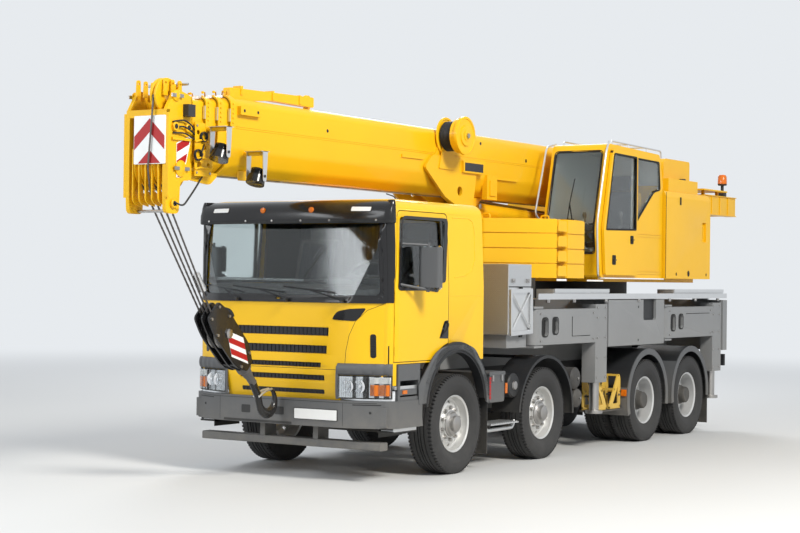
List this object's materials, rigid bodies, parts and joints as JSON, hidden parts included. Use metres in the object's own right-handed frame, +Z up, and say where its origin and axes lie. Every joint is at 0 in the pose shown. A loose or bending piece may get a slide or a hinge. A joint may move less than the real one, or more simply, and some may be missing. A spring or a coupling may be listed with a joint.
{
  "type": "four-axle truck-mounted telescopic mobile crane",
  "caption": "Truck crane with a slewing superstructure, telescopic boom, folding outriggers and hollow cabs, stowed for the road.",
  "frame": {"origin": "centre of the stowed crane's footprint box, on the ground", "axes": "+X to the vehicle's left, +Y to its rear, +Z up"},
  "size_m": [2.9932, 11.663, 3.833],
  "materials": {
    "yellow_paint": "gloss",
    "grey_paint": "satin",
    "chassis_paint": "satin",
    "black_paint": "satin",
    "engine_metal": "satin",
    "tinted_glass": "gloss",
    "lamp_glass": "gloss",
    "grey_trim": "matte",
    "dark_plastic": "satin",
    "checker_plate": "satin",
    "aluminium_edge": "satin",
    "chrome_rod": "gloss",
    "tyre_rubber": "matte",
    "polished_rim": "polished",
    "silver_rim": "satin"
  },
  "bodies": {
    "carrier": {"chassis_frame": "chassis_paint", "axles": "chassis_paint", "engine_block": "engine_metal", "driver_cab": "yellow_paint", "cab_glass": "tinted_glass", "cab_interior": "grey_trim", "front_bumper": "dark_plastic", "headlamps": "lamp_glass", "sun_visor": "dark_plastic", "mudguards": "dark_plastic", "tanks": "engine_metal", "tool_box": "checker_plate", "crane_subframe": "grey_paint", "deck_rails": "aluminium_edge", "ballast_plates": "yellow_paint"},
    "superstructure": {"turntable": "yellow_paint", "crane_cab": "yellow_paint", "crane_cab_glass": "tinted_glass", "machine_housing": "yellow_paint"},
    "crane_door": {"crane_door": "yellow_paint"},
    "boom_base": {"boom_base": "yellow_paint"},
    "boom_section_1": {"boom_section_1": "yellow_paint"},
    "boom_section_2": {"boom_section_2": "yellow_paint"},
    "boom_head": {"boom_head": "yellow_paint"},
    "hook_block": {"hook_block": "black_paint"},
    "luff_barrel": {"luff_barrel": "yellow_paint"},
    "luff_rod": {"luff_rod": "chrome_rod"},
    "door_left": {"door_left": "yellow_paint", "mirror_left": "dark_plastic"},
    "knuckle_1_left": {"knuckle_1_left": "chassis_paint"},
    "knuckle_2_left": {"knuckle_2_left": "chassis_paint"},
    "wheel_1_left": {"tyre_1_left": "tyre_rubber", "rim_1_left": "polished_rim"},
    "wheel_2_left": {"tyre_2_left": "tyre_rubber", "rim_2_left": "polished_rim"},
    "wheel_3_left": {"tyre_3_left": "tyre_rubber", "rim_3_left": "silver_rim"},
    "wheel_4_left": {"tyre_4_left": "tyre_rubber", "rim_4_left": "silver_rim"},
    "outrigger_front_left": {"outrigger_front_left": "grey_paint"},
    "jack_front_left": {"jack_front_left": "engine_metal"},
    "outrigger_rear_left": {"outrigger_rear_left": "grey_paint"},
    "jack_rear_left": {"jack_rear_left": "engine_metal"},
    "door_right": {"door_right": "yellow_paint", "mirror_right": "dark_plastic"},
    "knuckle_1_right": {"knuckle_1_right": "chassis_paint"},
    "knuckle_2_right": {"knuckle_2_right": "chassis_paint"},
    "wheel_1_right": {"tyre_1_right": "tyre_rubber", "rim_1_right": "polished_rim"},
    "wheel_2_right": {"tyre_2_right": "tyre_rubber", "rim_2_right": "polished_rim"},
    "wheel_3_right": {"tyre_3_right": "tyre_rubber", "rim_3_right": "silver_rim"},
    "wheel_4_right": {"tyre_4_right": "tyre_rubber", "rim_4_right": "silver_rim"},
    "outrigger_front_right": {"outrigger_front_right": "grey_paint"},
    "jack_front_right": {"jack_front_right": "engine_metal"},
    "outrigger_rear_right": {"outrigger_rear_right": "grey_paint"},
    "jack_rear_right": {"jack_rear_right": "engine_metal"}
  },
  "joints": [
    {"name": "slewing", "type": "hinge", "parent": "carrier", "child": "superstructure", "pos_m": [0, 2.82, 2], "axis": [0, 0, 1], "continuous": true},
    {"name": "boom_luff", "type": "hinge", "parent": "superstructure", "child": "boom_base", "pos_m": [0, 4.47, 3.42], "axis": [-1, 0, 0], "range_deg": [0, 82]},
    {"name": "luff_barrel_swing", "type": "hinge", "parent": "superstructure", "child": "luff_barrel", "pos_m": [0, 2.92, 2.735], "axis": [-1, 0, 0], "range_deg": [0, 91.36]},
    {"name": "luff_rod_slide", "type": "slide", "parent": "luff_barrel", "child": "luff_rod", "axis": [0, -0.9992, 0.04], "range_m": [0, 2.1207]},
    {"name": "telescope_1", "type": "slide", "parent": "boom_base", "child": "boom_section_1", "axis": [0, -1, 0], "range_m": [0, 7.8]},
    {"name": "telescope_2", "type": "slide", "parent": "boom_section_1", "child": "boom_section_2", "axis": [0, -1, 0], "range_m": [0, 7.8]},
    {"name": "telescope_3", "type": "slide", "parent": "boom_section_2", "child": "boom_head", "axis": [0, -1, 0], "range_m": [0, 7.8]},
    {"name": "hook_swing", "type": "hinge", "parent": "boom_head", "child": "hook_block", "pos_m": [0, -5.61, 2.985], "axis": [1, 0, 0], "range_deg": [0, 45]},
    {"name": "crane_door_slide", "type": "slide", "parent": "superstructure", "child": "crane_door", "axis": [0, 1, 0], "range_m": [0, 0.82]},
    {"name": "door_left_hinge", "type": "hinge", "parent": "carrier", "child": "door_left", "pos_m": [1.197, -3.473, 1.9], "axis": [0, 0, -1], "range_deg": [0, 75]},
    {"name": "steering_1_left", "type": "hinge", "parent": "carrier", "child": "knuckle_1_left", "pos_m": [0.8, -2.28, 0.5175], "axis": [0, 0, 1], "range_deg": [-32, 32]},
    {"name": "steering_2_left", "type": "hinge", "parent": "carrier", "child": "knuckle_2_left", "pos_m": [0.8, -0.34, 0.5175], "axis": [0, 0, 1], "range_deg": [-22.5, 22.5]},
    {"name": "wheel_1_left_spin", "type": "hinge", "parent": "knuckle_1_left", "child": "wheel_1_left", "pos_m": [1.064, -2.28, 0.5175], "axis": [1, 0, 0], "continuous": true},
    {"name": "wheel_2_left_spin", "type": "hinge", "parent": "knuckle_2_left", "child": "wheel_2_left", "pos_m": [1.064, -0.34, 0.5175], "axis": [1, 0, 0], "continuous": true},
    {"name": "wheel_3_left_spin", "type": "hinge", "parent": "carrier", "child": "wheel_3_left", "pos_m": [0.904, 2.42, 0.5175], "axis": [1, 0, 0], "continuous": true},
    {"name": "wheel_4_left_spin", "type": "hinge", "parent": "carrier", "child": "wheel_4_left", "pos_m": [0.904, 3.775, 0.5175], "axis": [1, 0, 0], "continuous": true},
    {"name": "outrigger_front_left_swing", "type": "hinge", "parent": "carrier", "child": "outrigger_front_left", "pos_m": [1.14, -0.53, 1.5], "axis": [0, 0, -1], "range_deg": [0, 90]},
    {"name": "jack_front_left_slide", "type": "slide", "parent": "outrigger_front_left", "child": "jack_front_left", "axis": [0, 0, -1], "range_m": [0, 0.55]},
    {"name": "outrigger_rear_left_swing", "type": "hinge", "parent": "carrier", "child": "outrigger_rear_left", "pos_m": [1.14, 3.07, 1.5], "axis": [0, 0, -1], "range_deg": [0, 90]},
    {"name": "jack_rear_left_slide", "type": "slide", "parent": "outrigger_rear_left", "child": "jack_rear_left", "axis": [0, 0, -1], "range_m": [0, 0.55]},
    {"name": "door_right_hinge", "type": "hinge", "parent": "carrier", "child": "door_right", "pos_m": [-1.197, -3.473, 1.9], "axis": [0, 0, 1], "range_deg": [0, 75]},
    {"name": "steering_1_right", "type": "hinge", "parent": "carrier", "child": "knuckle_1_right", "pos_m": [-0.8, -2.28, 0.5175], "axis": [0, 0, 1], "range_deg": [-32, 32]},
    {"name": "steering_2_right", "type": "hinge", "parent": "carrier", "child": "knuckle_2_right", "pos_m": [-0.8, -0.34, 0.5175], "axis": [0, 0, 1], "range_deg": [-22.5, 22.5]},
    {"name": "wheel_1_right_spin", "type": "hinge", "parent": "knuckle_1_right", "child": "wheel_1_right", "pos_m": [-1.064, -2.28, 0.5175], "axis": [1, 0, 0], "continuous": true},
    {"name": "wheel_2_right_spin", "type": "hinge", "parent": "knuckle_2_right", "child": "wheel_2_right", "pos_m": [-1.064, -0.34, 0.5175], "axis": [1, 0, 0], "continuous": true},
    {"name": "wheel_3_right_spin", "type": "hinge", "parent": "carrier", "child": "wheel_3_right", "pos_m": [-0.904, 2.42, 0.5175], "axis": [1, 0, 0], "continuous": true},
    {"name": "wheel_4_right_spin", "type": "hinge", "parent": "carrier", "child": "wheel_4_right", "pos_m": [-0.904, 3.775, 0.5175], "axis": [1, 0, 0], "continuous": true},
    {"name": "outrigger_front_right_swing", "type": "hinge", "parent": "carrier", "child": "outrigger_front_right", "pos_m": [-1.14, -0.53, 1.5], "axis": [0, 0, 1], "range_deg": [0, 90]},
    {"name": "jack_front_right_slide", "type": "slide", "parent": "outrigger_front_right", "child": "jack_front_right", "axis": [0, 0, -1], "range_m": [0, 0.55]},
    {"name": "outrigger_rear_right_swing", "type": "hinge", "parent": "carrier", "child": "outrigger_rear_right", "pos_m": [-1.14, 3.07, 1.5], "axis": [0, 0, 1], "range_deg": [0, 90]},
    {"name": "jack_rear_right_slide", "type": "slide", "parent": "outrigger_rear_right", "child": "jack_rear_right", "axis": [0, 0, -1], "range_m": [0, 0.55]}
  ],
  "couplings": [
    {"joint": "luff_barrel_swing", "follows": "boom_luff", "ratio": 1.1129},
    {"joint": "luff_rod_slide", "follows": "boom_luff", "m_per_rad": 1.4804},
    {"joint": "hook_swing", "follows": "boom_luff", "ratio": 0.545},
    {"joint": "steering_2_left", "follows": "steering_1_left", "ratio": 0.7},
    {"joint": "steering_1_right", "follows": "steering_1_left", "ratio": 1},
    {"joint": "steering_2_right", "follows": "steering_1_left", "ratio": 0.7}
  ]
}
